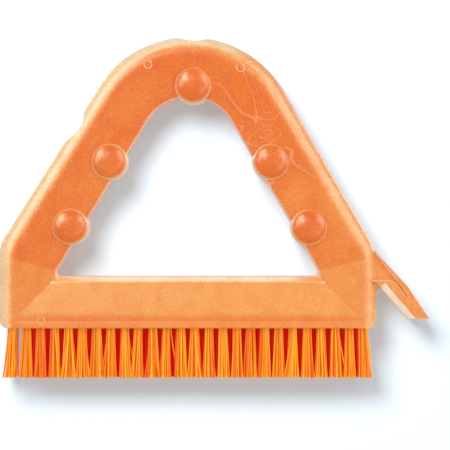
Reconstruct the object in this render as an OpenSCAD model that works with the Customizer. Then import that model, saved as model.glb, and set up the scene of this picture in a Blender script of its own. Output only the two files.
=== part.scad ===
// Hand-held grout brush: a one-piece moulded loop handle with finger bumps, two pole sockets and a
// scraper, carrying stapled bristle tufts in its base. It stands on its bristle tips.
// X runs along the bristles, Y through the thickness, Z up; the origin is on the trim plane, under
// the middle of the overall length and thickness.

/* [Handle loop] */
// Length of the base block, side to side
block_w = 218.4; // [190:0.1:240]
// Height of the crown's centre above the bristle tips
crown_z = 133.8; // [128:0.1:140]
// Sideways place of the crown's centre, from the middle of the block
crown_x = 0.9; // [-3:0.1:3]
// Outer radius of the crown
crown_r = 63.4; // [60:0.1:66]
// Width of the loop from its outer edge to the opening
loop_w = 34.9; // [31:0.1:38]
// Lean of the left leg's outer edge from the vertical
left_lean_out = 32.3; // [30:0.1:34]
// Lean of the left leg's inner edge from the vertical
left_lean_in = 31.1; // [29:0.1:33]
// Lean of both edges of the right leg from the vertical
right_lean = 30.2; // [28:0.1:33]
// Outline radius where a leg turns down into the block's side
shoulder_r = 28; // [20:0.1:32]
// Outline radius of the block's bottom corners
heel_r = 5.4; // [1:0.1:7]

/* [Brush bar] */
// Height of the bar between the opening and the bristle side
bar_h = 29.9; // [26:0.1:34]
// Width of the opening along the bar
opening_w = 151.4; // [140:0.1:156]
// Radius in the two lower corners of the opening
opening_r = 1.8; // [1:0.1:4]
// Upright strip along the top of the bar
bar_strip_h = 2.9; // [1:0.1:5]
// Upright band along the foot of the bar
bar_band_h = 4.4; // [2:0.1:8]
// Half thickness of the foot band
bar_band_half = 14.2; // [13:0.1:14.4]
// Height over which the bar's face rolls in above the foot band
bar_roll_h = 4; // [2:0.1:6]
// How far the face rolls in behind the foot band
bar_roll_in = 0.5; // [0.2:0.1:1]

/* [Loop section] */
// Half thickness at the edge of the opening
edge_half = 10.4; // [9:0.1:12]
// Half thickness that the face reaches where the outer rounding starts
face_half = 14.2; // [13:0.1:14.4]
// Half thickness of the outer rounding at its crest
ridge_half = 14.6; // [14.5:0.1:17]
// Radius of the outer rounding
rim_r = 11; // [8:0.1:12]
// Fillet along the edge of the opening
edge_r = 1.5; // [0.5:0.1:3]

/* [Finger bumps] */
// Radius of a finger bump
bump_r = 10.9; // [9:0.1:13]
// Half thickness of the handle over a bump, to the top of its dome
bump_half = 17.8; // [16:0.1:20]
// Height of the dome on each end of a bump
bump_dome = 4.6; // [3:0.1:6]
// Distance of the left bumps' centres behind the edge of the opening
bump_in_left = 6.6; // [3:0.1:9]
// Distance of the right bumps' centres behind the edge of the opening
bump_in_right = 7.9; // [3:0.1:9]
// Distance of the top bump's centre behind the edge of the opening
bump_in_top = 6.8; // [3:0.1:9]
// Turn of the top bump from the crown's vertical, to the right
bump_top_turn = 3.5; // [-10:0.5:10]
// Distance of the upper bump down each leg, from the end of the crown
bump_upper = 31.5; // [28:0.1:36]
// Distance of the lower bump down each leg, from the end of the crown
bump_lower = 75.2; // [70:0.1:80]

/* [Pole sockets] */
// Radius of both threaded pole sockets
socket_r = 9.6; // [8:0.1:10]
// Radius of the crown socket's mouth
crown_mouth_r = 10.5; // [10.1:0.1:11.5]
// Depth of the crown socket's mouth below the top of the crown
crown_mouth_depth = 3.4; // [3:0.1:5]
// Length of the crown socket's threaded wall
crown_socket_len = 20; // [15:0.1:22]
// Sideways place of the crown socket from the crown's centre
crown_socket_x = 2.2; // [-4:0.1:4]
// Radius of the side socket's mouth
side_mouth_r = 12.4; // [10.5:0.1:12.6]
// Height of the side socket's axis above the bristle tips
side_socket_z = 144.7; // [140:0.1:150]
// Depth of the side socket's mouth, measured on its axis from the leg's edge
side_mouth_depth = 12; // [11:0.1:14]
// Length of the side socket's threaded wall
side_socket_len = 18; // [14:0.1:20]

/* [Scraper] */
// Reach of the scraper's tip beyond the block's side
scraper_reach = 30.3; // [24:0.1:36]
// Height of the scraper's tip above the bristle tips
scraper_tip_z = 34.1; // [30:0.1:40]
// Height of the bend in the scraper's outer face
scraper_bend_z = 53; // [48:0.1:58]
// Height where the scraper's outer face leaves the leg
scraper_top_z = 76; // [72:0.1:77]
// Lean of the outer face from the vertical, below the bend
scraper_tip_lean = 33.8; // [30:0.1:38]
// Lean of the outer face from the vertical, above the bend
scraper_root_lean = 39.2; // [36:0.1:42]
// Lean of the underside from the vertical
scraper_under_lean = 41.8; // [39:0.1:45]
// Width of the cut tip
scraper_tip_w = 12.2; // [9:0.1:15]
// Depth of the scraper through the handle's thickness
scraper_depth = 25; // [20:0.1:27]
// Bevel along both sides of the underside
scraper_bevel = 3.4; // [1:0.1:5]
// Radius of the root between the underside and the block
scraper_root_r = 1.9; // [1:0.1:5]
// Thickness of the rail along the outer face
scraper_rail = 3.1; // [2:0.1:5]
// Thickness of the flange along the underside
scraper_flange = 3.9; // [3:0.1:5]
// Distance of the pocket's narrow end above the tip
scraper_pocket_end = 10; // [7:0.1:14]
// Distance of the pocket's top below the top of the scraper
scraper_pocket_top = 6.5; // [5:0.1:12]
// Depth of the pocket in each side of the scraper
scraper_pocket = 2.5; // [1:0.1:6]

/* [Bristles] */
// Length of the bristles from the block to the trim plane
bristle_trim = 28.8; // [22:0.1:36]
// Spacing of the tufts along a row
tuft_pitch = 8.1; // [7.6:0.05:8.2]
// Least distance from the block's end to the middle of the end tuft
tuft_end = 7.9; // [7.5:0.1:12]
// Spacing of the three rows
row_pitch = 8.2; // [7.5:0.1:8.8]
// Radius of a tuft where it leaves the block
tuft_r = 2.65; // [2.2:0.05:2.8]
// Radius of a tuft at the trim plane
tuft_tip_r = 3.95; // [3:0.05:4]
// Radius of a strand, from its middle to a corner
strand_r = 0.95; // [0.6:0.05:1]
// Strands around each tuft, beside the one in its middle
ring_strands = 5; // [3:1:5]
// Depth of the tuft holes
tuft_hole_depth = 12; // [9:0.5:14]
// Clearance of a tuft and its staple in their hole
tuft_fit = 0.05; // [0.02:0.01:0.1]

/* [Staples] */
// Height of a staple along its hole
staple_h = 1.4; // [1:0.1:2]
// Thickness of a staple's wire
staple_t = 0.45; // [0.3:0.05:0.6]

/* [Hidden] */
$fn = 64;
handle_colour = "darkorange";
tuft_colour = "orange";
staple_colour = "goldenrod";

// Long enough to pass the outline in any direction
past = 90;
// The outline is drawn this far below the block's base, and cut flat there
base_trim = 1;
// The corner webs reach this far into the bar, and stop this far below the leg's edge
web_root = 1.5;
web_step = 0.3;
// The scraper reaches this far into the block's side
scraper_root_depth = 9;
// The trim cuts this much off the strand tips
trim_cut = 0.5;
// Strands start this far inside the block
strand_root = 1;
// Holes and roots have this many sides, and a strand's section this many
hole_sides = 8;
strand_sides = 3;

// The modelled drawing lies in the XY plane, with the block's middle at x = 0, and is stood up last
base_z = bristle_trim;
bar_top_z = base_z + bar_h;
crown_centre = [crown_x, crown_z];
crown_in_r = crown_r - loop_w;
shift_x = -scraper_reach / 2;
hole_r = tuft_r + tuft_fit;
tuft_count = floor((block_w - 2 * tuft_end) / tuft_pitch) + 1;
middle_count = tuft_count - 2;
outer_first_x = -tuft_pitch * (tuft_count - 1) / 2;
middle_first_x = outer_first_x + 1.5 * tuft_pitch;
face_slope = (face_half - edge_half) / (loop_w - rim_r);

function lean_out(side) = side < 0 ? left_lean_out : right_lean;
function lean_in(side) = side < 0 ? left_lean_in : right_lean;
function bump_in(side) = side < 0 ? bump_in_left : bump_in_right;
// Half thickness of the face at a distance from the edge of the opening
function face_at(d) = edge_half + face_slope * d;
// Length of a leg's outer edge, from the crown to the shoulder
function leg_edge(side) = (block_w / 2 - shoulder_r - side * crown_x
    - (crown_r - shoulder_r) * cos(lean_out(side))) / sin(lean_out(side));
// Centre of a shoulder's arc
function shoulder(side) = crown_centre
    + (crown_r - shoulder_r) * [side * cos(lean_out(side)), sin(lean_out(side))]
    + leg_edge(side) * [side * sin(lean_out(side)), -cos(lean_out(side))];
// A point behind the edge of the opening, at a distance down a leg
function on_leg(side, down, behind) = crown_centre
    + (crown_in_r + behind) * [side * cos(lean_in(side)), sin(lean_in(side))]
    + down * [side * sin(lean_in(side)), -cos(lean_in(side))];

// Where the side socket's axis crosses the left leg's outer edge
side_edge_x = crown_x - (crown_r - (side_socket_z - crown_z) * sin(left_lean_out)) / cos(left_lean_out);
side_floor_x = side_edge_x + side_mouth_depth;
// Where the crown socket's axis crosses the crown
crown_socket_at = crown_x + crown_socket_x;
crown_top_z = crown_z + sqrt(crown_r * crown_r - crown_socket_x * crown_socket_x);

// Corners of the scraper's side view
scraper_tip = [block_w / 2 + scraper_reach, scraper_tip_z];
scraper_bend = scraper_tip + (scraper_bend_z - scraper_tip_z) * [-tan(scraper_tip_lean), 1];
scraper_top = scraper_bend + (scraper_top_z - scraper_bend_z) * [-tan(scraper_root_lean), 1];
scraper_low = scraper_tip - [scraper_tip_w, 0];
// Where the underside would meet the block's side
scraper_notch = [block_w / 2, scraper_tip_z + (scraper_low[0] - block_w / 2) / tan(scraper_under_lean)];

outer_tufts = [for (i = [1:tuft_count]) str("outer_tufts_", i)];
middle_tufts = [for (i = [1:middle_count]) str("middle_tuft_", i)];

// Stands a drawing from the XY plane up, and moves it to the origin's place
module upright() {
    translate([shift_x, 0, 0]) rotate([90, 0, 0]) children();
}

// Runs a section down from where it stands: its x points away from the loop, its y through the thickness
module run(length) {
    rotate([90, 0, 0]) linear_extrude(height = length) children();
}

// Places its children at the crown's centre, turned square to a leg's edge
module at_leg(side, lean) {
    translate(crown_centre) mirror([side < 0 ? 1 : 0, 0, 0]) rotate([0, 0, lean]) children();
}

// Half section of the solid outline, from a centre out to the rounded outer edge
module rim_section(reach) {
    crest = ridge_half - rim_r;
    translate([0, -ridge_half]) square([reach - rim_r, 2 * ridge_half]);
    translate([0, -crest]) square([reach, 2 * crest]);
    for (up = [-1, 1]) translate([reach - rim_r, up * crest]) circle(rim_r, $fn = 32);
}

// The whole outline as a solid with a rounded outer edge
module rounded_outline() {
    $fn = 72;
    hull() {
        translate(crown_centre) rotate_extrude() rim_section(crown_r);
        for (side = [-1, 1]) {
            translate(shoulder(side)) rotate_extrude() rim_section(shoulder_r);
            translate([shoulder(side)[0], base_z, 0]) mirror([side < 0 ? 1 : 0, 0, 0])
                run(base_trim) rim_section(shoulder_r);
        }
    }
}

// Section of the loop: filleted at the opening, and thicker with the distance from it
module loop_section() {
    steep = sqrt(1 + face_slope * face_slope);
    middle = edge_half + face_slope * edge_r - edge_r * steep;
    touch = [edge_r * (1 - face_slope / steep), middle + edge_r / steep];
    polygon([[0, -middle], [touch[0], -touch[1]], [past, -face_at(past)],
        [past, face_at(past)], touch, [0, middle]]);
    for (up = [-1, 1]) translate([edge_r, up * middle]) circle(edge_r);
}

// Section beside a lower corner of the opening, behind the corner's web
module corner_section() {
    polygon([[edge_r, -face_at(edge_r)], [past, -face_at(past)], [past, face_at(past)],
        [edge_r, face_at(edge_r)]]);
}

// Section of the bar: an upright strip, the sloped face, its roll and the foot band
module bar_section() {
    band = bar_h - bar_band_h;
    roll = band - bar_roll_h;
    crease = bar_band_half - bar_roll_in;
    half = [[0, edge_half - edge_r], [edge_r / 2, edge_half - edge_r / 6], [edge_r, edge_half],
        [bar_strip_h, edge_half], [bar_strip_h + edge_r / 3, face_at(bar_strip_h + edge_r / 3)],
        [roll, face_at(roll)], [band, crease], [band, bar_band_half], [past, bar_band_half]];
    polygon(concat(half, [for (i = [len(half) - 1:-1:0]) [half[i][0], -half[i][1]]]));
}

// Closes a lower corner of the opening with an upright side and a small radius
module corner_web(side) {
    edge = on_leg(side, 0, 0);
    rise = edge[1] - (opening_w / 2 - side * edge[0]) / tan(lean_in(side)) - bar_top_z;
    translate([side * opening_w / 2, bar_top_z, 0]) mirror([side > 0 ? 1 : 0, 0, 0])
        linear_extrude(height = 2 * (edge_half - 2 * edge_r), center = true) {
            translate([-2 * web_root, -web_root]) square([2 * web_root, rise + web_root - web_step]);
            difference() {
                translate([-web_root, -web_root]) square(opening_r + web_root);
                translate([opening_r, opening_r]) circle(opening_r);
            }
        }
}

// The members around the opening; where two meet, the thicker one shows
module loop_members() {
    translate(crown_centre) rotate([0, 0, right_lean])
        rotate_extrude(angle = 180 - left_lean_in - right_lean)
            translate([crown_in_r, 0]) loop_section();
    for (side = [-1, 1]) {
        at_leg(side, lean_in(side)) translate([crown_in_r, 0, 0]) run(2 * past) loop_section();
        translate([side * opening_w / 2, crown_z, 0]) mirror([side < 0 ? 1 : 0, 0, 0])
            run(crown_z) corner_section();
        corner_web(side);
    }
    translate([block_w, bar_top_z, 0]) rotate([0, 0, -90]) run(2 * block_w) bar_section();
}

// One finger bump, through the whole thickness with a dome on each end
module finger_bump() {
    dome_r = (bump_r * bump_r + bump_dome * bump_dome) / (2 * bump_dome);
    for (up = [0, 1]) mirror([0, 0, up]) rotate_extrude() intersection() {
        square([bump_r, bump_half]);
        translate([0, bump_half - dome_r]) circle(dome_r);
    }
}

module finger_bumps() {
    translate(crown_centre) rotate([0, 0, -bump_top_turn])
        translate([0, crown_in_r + bump_in_top, 0]) finger_bump();
    for (side = [-1, 1], down = [bump_upper, bump_lower])
        translate(on_leg(side, down, bump_in(side))) finger_bump();
}

// Side view of the scraper, with its root buried in the block and its top sloping in at 45 degrees
module scraper_outline() {
    buried_x = block_w / 2 - scraper_root_depth;
    polygon([scraper_tip, scraper_bend, scraper_top, scraper_top + (scraper_top[0] - buried_x) * [-1, 1],
        [buried_x, scraper_notch[1]], scraper_notch, scraper_low]);
}

// Fills the notch between the underside and the block up to its radius
module scraper_root() {
    half = scraper_under_lean / 2;
    along = scraper_root_r / tan(half);
    difference() {
        polygon([scraper_notch + [-1, 1], scraper_notch + [-1, -along], scraper_notch + [0, -along],
            scraper_notch + along * [sin(scraper_under_lean), -cos(scraper_under_lean)]]);
        translate(scraper_notch + [scraper_root_r, -along]) circle(scraper_root_r);
    }
}

// Pocket between the rail, the flange and the block, narrowing towards the tip
module scraper_pocket_outline() {
    rail = scraper_rail / cos(scraper_tip_lean);
    end_z = scraper_tip_z + scraper_pocket_end;
    corner = scraper_notch + [(scraper_flange + scraper_bevel) / cos(scraper_under_lean), 0];
    end_step = 1.2;
    wall = block_w / 2;
    polygon([
        [wall, scraper_top[1] - scraper_pocket_top],
        scraper_bend - [rail, 0],
        [scraper_tip[0] - rail - scraper_pocket_end * tan(scraper_tip_lean), end_z],
        corner + (corner[1] - end_z - end_step) * [tan(scraper_under_lean), -1],
        corner,
        [wall, corner[1]],
    ]);
}

// Cuts the bevel along one side of the underside
module underside_bevel(up) {
    translate([scraper_low[0], scraper_low[1], up * scraper_depth / 2])
        rotate([0, 0, scraper_under_lean]) rotate([0, up * 45, 0])
            cube([scraper_bevel * sqrt(2), past, scraper_bevel * sqrt(2)], center = true);
}

module scraper() {
    difference() {
        union() {
            linear_extrude(height = scraper_depth, center = true) scraper_outline();
            linear_extrude(height = scraper_depth - 2 * scraper_bevel, center = true) scraper_root();
        }
        for (up = [-1, 1]) {
            underside_bevel(up);
            translate([0, 0, up * (scraper_depth / 2 - scraper_pocket / 2)])
                linear_extrude(height = scraper_pocket + 0.02, center = true) scraper_pocket_outline();
        }
    }
}

// Both pole sockets: a wide mouth, then the threaded wall
module pole_sockets() {
    translate([crown_socket_at, crown_top_z - crown_mouth_depth, 0]) rotate([-90, 0, 0]) {
        cylinder(h = past, r = crown_mouth_r);
        mirror([0, 0, 1]) cylinder(h = crown_socket_len, r = socket_r);
    }
    translate([side_floor_x, side_socket_z, 0]) rotate([0, -90, 0]) {
        cylinder(h = past, r = side_mouth_r);
        mirror([0, 0, 1]) cylinder(h = side_socket_len, r = socket_r);
    }
}

// Cuts the block flat at its base
module base_cut() {
    translate([0, base_z - past / 2, 0]) cube([4 * past, past, 4 * ridge_half], center = true);
}

// Rounds the outline's bottom corner on one side
module heel_cut(side) {
    translate([side * block_w / 2, base_z, 0]) mirror([side > 0 ? 1 : 0, 0, 0])
        linear_extrude(height = 4 * ridge_half, center = true) difference() {
            translate([-1, -1]) square(heel_r + 1);
            translate([heel_r, heel_r]) circle(heel_r);
        }
}

// Places of the tufts along X; the outer rows are alike, and the middle row is shifted by half a pitch
function outer_x(i) = shift_x + outer_first_x + tuft_pitch * (i - 1);
function middle_x(i) = shift_x + middle_first_x + tuft_pitch * (i - 1);

module tuft_hole() {
    translate([0, 0, base_z - 1]) cylinder(h = tuft_hole_depth + 1, r = hole_r, $fn = hole_sides);
}

module tuft_holes() {
    for (i = [1:tuft_count], row = [-1, 1]) translate([outer_x(i), row * row_pitch, 0]) tuft_hole();
    for (i = [1:middle_count]) translate([middle_x(i), 0, 0]) tuft_hole();
}

module handle_block() {
    color(handle_colour) difference() {
        upright() difference() {
            union() {
                intersection() {
                    rounded_outline();
                    loop_members();
                }
                finger_bumps();
                scraper();
            }
            pole_sockets();
            base_cut();
            for (side = [-1, 1]) heel_cut(side);
        }
        tuft_holes();
    }
}

// One strand from inside the block to below the trim plane, leaning outward
module strand(root_at, tip_at) {
    drop = base_z + strand_root + trim_cut;
    lean = atan((tip_at - root_at) / drop);
    translate([root_at, 0, base_z + strand_root]) rotate([0, 180 - lean, 0])
        cylinder(h = drop / cos(lean), r = strand_r, $fn = strand_sides);
}

// One tuft: a ring of strands and a middle one, fused to their packed root and trimmed flat
module tuft(turn) {
    color(tuft_colour) difference() {
        union() {
            translate([0, 0, base_z + tuft_fit])
                cylinder(h = tuft_hole_depth - staple_h - 3 * tuft_fit, r = tuft_r, $fn = hole_sides);
            rotate([0, 0, turn]) {
                strand(0, 0);
                for (k = [1:ring_strands]) rotate([0, 0, 360 * k / ring_strands])
                    strand(tuft_r - strand_r, tuft_tip_r - strand_r);
            }
        }
        translate([-past / 2, -past / 2, -past]) cube([past, past, past]);
    }
}

// One tuft of the front row and its twin in the back row
module outer_pair(i) {
    for (row = [-1, 1]) translate([outer_x(i), row * row_pitch, 0]) tuft(row * 47 * i);
}

module middle_tuft(i) {
    translate([middle_x(i), 0, 0]) tuft(31 * i);
}

// The flat wire that holds a folded tuft at the bottom of its hole
module staple() {
    length = 2 * (hole_r * cos(180 / hole_sides) - tuft_fit);
    color(staple_colour) translate([0, 0, base_z + tuft_hole_depth - tuft_fit - staple_h / 2])
        cube([length, staple_t, staple_h], center = true);
}

module outer_staples(row) {
    for (i = [1:tuft_count]) translate([outer_x(i), row * row_pitch, 0]) staple();
}

module middle_staples() {
    for (i = [1:middle_count]) translate([middle_x(i), 0, 0]) staple();
}

handle_block();
outer_staples(-1);  // front_row_staples
middle_staples();  // middle_row_staples
outer_staples(1);  // back_row_staples
for (i = [1:tuft_count]) outer_pair(i);
for (i = [1:middle_count]) middle_tuft(i);
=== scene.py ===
"""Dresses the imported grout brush: a moulded loop handle with finger bumps, sockets and scraper,
tufts of loose filaments, and the white surface that it lies on."""

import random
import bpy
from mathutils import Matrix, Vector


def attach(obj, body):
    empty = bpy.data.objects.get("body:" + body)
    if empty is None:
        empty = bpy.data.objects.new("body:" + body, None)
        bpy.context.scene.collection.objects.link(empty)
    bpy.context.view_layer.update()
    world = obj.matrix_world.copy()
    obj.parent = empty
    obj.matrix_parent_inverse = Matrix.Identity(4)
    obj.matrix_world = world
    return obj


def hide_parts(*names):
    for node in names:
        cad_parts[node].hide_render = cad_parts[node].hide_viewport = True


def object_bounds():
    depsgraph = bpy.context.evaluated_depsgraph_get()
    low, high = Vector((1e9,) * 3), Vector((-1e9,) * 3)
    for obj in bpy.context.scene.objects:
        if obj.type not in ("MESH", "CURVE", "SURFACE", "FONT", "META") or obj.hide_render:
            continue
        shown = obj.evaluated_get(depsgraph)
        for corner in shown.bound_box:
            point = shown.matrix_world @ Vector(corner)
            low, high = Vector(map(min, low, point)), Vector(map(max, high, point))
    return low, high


bl_info = {
    "name": "Grout brush",
    "version": (1, 0, 0),
    "blender": (4, 5, 0),
    "location": "View3D > Sidebar > Grout brush",
    "description": "Moulded handle, bristle tufts and a soft white stage around the packed part",
    "category": "Object",
}

from math import atan2, copysign, cos, hypot, pi, radians, sin, sqrt, tan

import bpy
import numpy as np
from mathutils import Vector

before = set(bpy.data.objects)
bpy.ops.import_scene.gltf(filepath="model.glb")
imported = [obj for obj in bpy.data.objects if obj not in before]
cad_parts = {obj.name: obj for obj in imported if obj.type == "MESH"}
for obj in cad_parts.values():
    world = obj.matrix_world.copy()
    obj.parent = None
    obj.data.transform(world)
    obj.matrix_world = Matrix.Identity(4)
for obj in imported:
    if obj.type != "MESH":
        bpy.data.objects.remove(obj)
CAD_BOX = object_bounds()

MM = 0.001
# Left and right of the loop, seen from the front
SIDES = (-1, 1)
# Sizes in mm, in the block's own frame: x from the middle of the block, z up from the bristle tips
SHIFT_X = -15.15
BLOCK_HALF = 109.2
BASE_Z = 28.8
BAR_TOP_Z = 58.7
CROWN = np.array((0.9, 133.8))
CROWN_R = 63.4
LOOP_W = 34.9
OPEN_R = CROWN_R - LOOP_W
SHOULDER_R = 28.0
HEEL_R = 5.4
OPEN_HALF = 75.7
CORNER_R = 1.8
# How far the outer and the inner edge of each leg lean from upright
LEAN_OUT = {-1: radians(32.3), 1: radians(30.2)}
LEAN_IN = {-1: radians(31.1), 1: radians(30.2)}
# Half thickness at the opening, where the rim begins, and at the rim's thickest part
EDGE_HALF = 10.4
FACE_HALF = 14.2
RIDGE_HALF = 14.6
RIM_R = 11.0
CREST_HALF = RIDGE_HALF - RIM_R
FACE_SLOPE = (FACE_HALF - EDGE_HALF) / (LOOP_W - RIM_R)
EDGE_R = 1.5
# Depth below the bar's top edge, and the half thickness there
BAR_PROFILE = (
    (0.0, 8.9), (0.12, 9.5), (0.4, 10.0), (0.8, 10.3), (1.4, 10.4), (2.85, 10.4), (3.15, 10.95),
    (21.5, 13.82), (22.5, 13.8), (23.5, 13.7), (24.3, 13.55), (25.0, 13.4), (25.5, 13.42),
    (25.9, 13.85), (26.4, 14.15), (29.3, 14.2), (29.9, 13.7),
)
BAR_H = BAR_PROFILE[-1][0]
# Distance between the loop's sections, along the legs and along the bar
SPACING = 0.85
BAR_SPACING = SPACING * 1.3
# Finger bumps: the dome's roundness is 2 for a plain sphere, and it starts at the waist
BUMP_R = 10.9
BUMP_HALF = 17.8
BUMP_ROUND = 2.4
BUMP_WAIST = 9.0
# Where they are: turn and distance from the opening on the crown, then the same for the legs
CROWN_BUMP_TURN = radians(90 - 3.5)
CROWN_BUMP_BEHIND = 6.8
LEG_BUMP_BEHIND = {-1: 6.6, 1: 7.9}
LEG_BUMP_ALONG = (31.5, 75.2)
SOCKET_R = 9.6
THREAD_PITCH = 5.08
THREAD_DEPTH = 0.8
THREAD_FADE = 1.2
THREAD_STEP = 0.42
# For each socket its mouth, its length, the radius and length of the plain mouth, and its turn
SOCKETS = (
    ((CROWN[0] + 2.2, 193.76), 20, 10.5, 30, 0),
    ((-55.216, 144.7), 18, 12.4, 60, -pi / 2),
)
# Scraper: half width, depth of its pockets, width of the rail beside them, bevel of its underside
SCRAPER_HALF = 12.5
POCKET = 3.0
RAIL = 3.1
BEVEL = 3.4
# How far its edges lean from upright, and its outer outline from the tip up to the root
TIP_LEAN = radians(33.8)
ROOT_LEAN = radians(42.75)
UNDER_LEAN = radians(40.8)
TIP = np.array((139.5, 34.1))
BEND = TIP + 18.9 * np.array((-tan(TIP_LEAN), 1))
ROOT_TOP = BEND + 20.0 * np.array((-tan(ROOT_LEAN), 1))
LOW_END = TIP - (12.2, 0)
WEB_R = 2.3
EJECTOR_R = 2.6
EJECTOR_PROUD = 0.16
EJECTOR_MARKS = ((-22.95, 180.7), (30.5, 178.9), (-84.5, 33.4))
# How far in the rim's painted highlight starts, where it is full, and how strong it is: on the left and
# the right leg, the crown, the left and the right foot. It stands for light on the rounded edge, most on
# the left
RIM_HIGHLIGHT_ZONES = (
    (14.5, 4.0, 0.64), (13.5, 6.0, 0.43), (6.5, 1.2, 0.8), (12.5, 3.0, 0.66), (10.5, 3.0, 0.5),
)
# Strength of the painted highlight that spreads further in over the crown
CROWN_HIGHLIGHT = 0.42
# Two soft highlights painted on each bump: strength, then place from its middle and reach, each in x and
# z
PAINTED_HIGHLIGHTS = ((0.5, -4.6, 4.2, 2.6, 3.8), (0.36, 6.6, 4.0, 2.0, 3.4))
# Rows of tufts: piece and node, first tuft's place, count, rows in one node, splay of the end tufts,
# and how far the filaments turn to the deep red painted as the shade between the tufts
ROW_Y = 8.2
TUFT_PITCH = 8.1
TUFT_COUNT = 26
OUTER_X = -TUFT_PITCH * (TUFT_COUNT - 1) / 2
MIDDLE_X = OUTER_X + 1.5 * TUFT_PITCH
TUFT_ROWS = (
    ("outer_bristles", "outer_tufts", OUTER_X, TUFT_COUNT, (-ROW_Y, ROW_Y), 1.5, 0.0),
    ("middle_bristles", "middle_tuft", MIDDLE_X, TUFT_COUNT - 2, (0.0,), 0.0, 0.95),
)
# How the filaments of one tuft spread from root to tip
TUFT_R = 2.65
TUFT_TIP_R = 3.95
TIP_WIDER = 1.12
STRAY_SHARE = 0.09
STRAND_RINGS = (0.3, 0.6, 0.82)
STRAND_SIDES = 6
STRAND_INTO_BLOCK = 3.0
STRAND_TONES = (0.1, 0.3, 0.5, 0.7, 0.85, 1.0)
# Camera and lamps, in metres
CAMERA_PLACE = (0.00635, -1.5, 0.0883)
CAMERA_LENS = 206.5
LIT_POINT = (0, 0, 0.1)
KEY_PLACE = (-0.36, -1.0, 0.62)
KEY_SIZE = 0.6
# Soft boxes at both sides: name, place and share of their power
BOX_SIZE = (0.75, 1.4)
SOFT_BOXES = (("left_box", (-0.86, -0.55, 0.7), 1.0), ("right_box", (0.98, -0.3, 0.6), 0.7))
# The other lamps: name, place, size, setting that gives the power, and share of it
LAMPS = (
    ("fill_lamp", (0.7, -0.8, 0.6), 0.25, "fill_power", 1.0),
    ("side_lamp", (-1.1, -0.35, 0.15), 0.6, "side_power", 1.0),
    ("low_lamp", (0.75, -0.75, -0.25), 0.8, "low_power", 1.0),
    ("back_lamp_left", (-0.7, 0.8, 0.5), 0.5, "back_power", 1.0),
    ("back_lamp_right", (0.7, 0.8, 0.3), 0.5, "back_power", 0.7),
)


def linear(red, green, blue):
    """A display colour, 0 to 255, as linear values."""
    out = []
    for c in (red, green, blue):
        c /= 255
        out.append(c / 12.92 if c <= 0.04045 else ((c + 0.055) / 1.055) ** 2.4)
    return tuple(out)


# Shades of the handle beside the three in its settings: painted crease shade, the foot of the rim's
# painted highlight, painted edge highlight, and the plastic's own specks and cloud
PAINTED_CREASE_SHADE = linear(234, 112, 46)
RIM_HIGHLIGHT_FOOT = linear(240, 172, 102)
# Pale colour painted along edges as their highlight
PAINTED_EDGE_HIGHLIGHT = linear(255, 238, 222)
SPECK_SHADE = linear(255, 214, 176)
CLOUD_TINT = (0.95, 0.80, 0.66)
# Flow lines: where along the wave they start and are full, how strong they are, and their shade
FLOW_WAVE = 0.035
FLOW_LINES = (
    (0.006, 0.0, 0.44, linear(250, 180, 130)),
    (0.02, FLOW_WAVE, 0.5, linear(236, 120, 36)),
)
FILAMENT_TINT = (0.97, 0.74, 0.5)


# Settings


def color_setting(name, description, *shade):
    """A colour property; its default is a display colour, 0 to 255."""
    return bpy.props.FloatVectorProperty(
        name=name, description=description, subtype="COLOR", size=3, min=0, max=1,
        default=linear(*shade))


def share_setting(name, description, default):
    """A property from 0 to 1."""
    return bpy.props.FloatProperty(
        name=name, description=description, default=default, min=0, max=1, subtype="FACTOR")


def power_setting(name, description, default):
    """The power of a lamp, in watts."""
    return bpy.props.FloatProperty(
        name=name, description=description, default=default, min=0, max=100, unit="POWER")


class HandleSettings(bpy.types.PropertyGroup):
    face_color: color_setting("Face colour", "Colour of the handle's flat faces", 227, 111, 36)
    # Lighter colour painted on the bar, the feet and the lower legs for the light they catch, and on
    # random patches
    bar_painted_light_color: color_setting(
        "Bar colour", "Colour of the bar between the opening and the bristles", 236, 157, 78)
    # Paler colour painted on the rounded outer edge as its highlight
    rim_color: color_setting("Rim colour", "Paler colour of the rounded outer edge", 244, 213, 170)
    grain: share_setting("Grain", "Depth of the moulded grain", 0.25)
    mottle: share_setting("Mottle", "Strength of the cloudy colour in the plastic", 0.85)


class BristleSettings(bpy.types.PropertyGroup):
    strands: bpy.props.IntProperty(
        name="Filaments", description="Filaments in each tuft", default=26, min=12, max=80)
    thickness: bpy.props.FloatProperty(
        name="Thickness", description="Diameter of a filament", default=0.86 * MM, min=0.0002,
        max=0.0015, subtype="DISTANCE", unit="LENGTH")
    light_color: color_setting("Light filament", "Colour of the lightest filaments", 255, 184, 34)
    dark_color: color_setting("Dark filament", "Colour of the darkest filaments", 238, 100, 4)
    # Painted shade: the middle row's filaments take this deep red
    deep_color: color_setting("Deep filament", "Colour in the shade between the tufts", 236, 6, 0)


class StageSettings(bpy.types.PropertyGroup):
    key_power: power_setting("Key light", "Power of the large lamp over the upper left", 3.9)
    gloss_power: power_setting(
        "Soft boxes", "Power of the two soft boxes that show only as highlights", 18.0)
    back_power: power_setting("Back light", "Power of the lamps behind the surface", 2.4)
    surface_power: power_setting(
        "Surface light", "Power of the lamp that lights the surface alone", 25.0)
    fill_power: power_setting("Fill light", "Power of the small lamp over the upper right", 1.4)
    side_power: power_setting("Side light", "Power of the soft lamp from the left", 1.3)
    low_power: power_setting(
        "Low light", "Power of the wide soft lamp from the lower right", 2.8)
    ambient: bpy.props.FloatProperty(
        name="Ambient light", description="Strength of the white surroundings", default=0.66,
        min=0, max=2)


# Helpers


def deselect():
    """Leaves edit mode and selects nothing."""
    if bpy.context.object and bpy.context.object.mode != "OBJECT":
        end_edit()
    bpy.ops.object.select_all(action="DESELECT")


def activate(piece):
    """Selects one piece alone."""
    deselect()
    piece.select_set(True)
    bpy.context.view_layer.objects.active = piece


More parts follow.
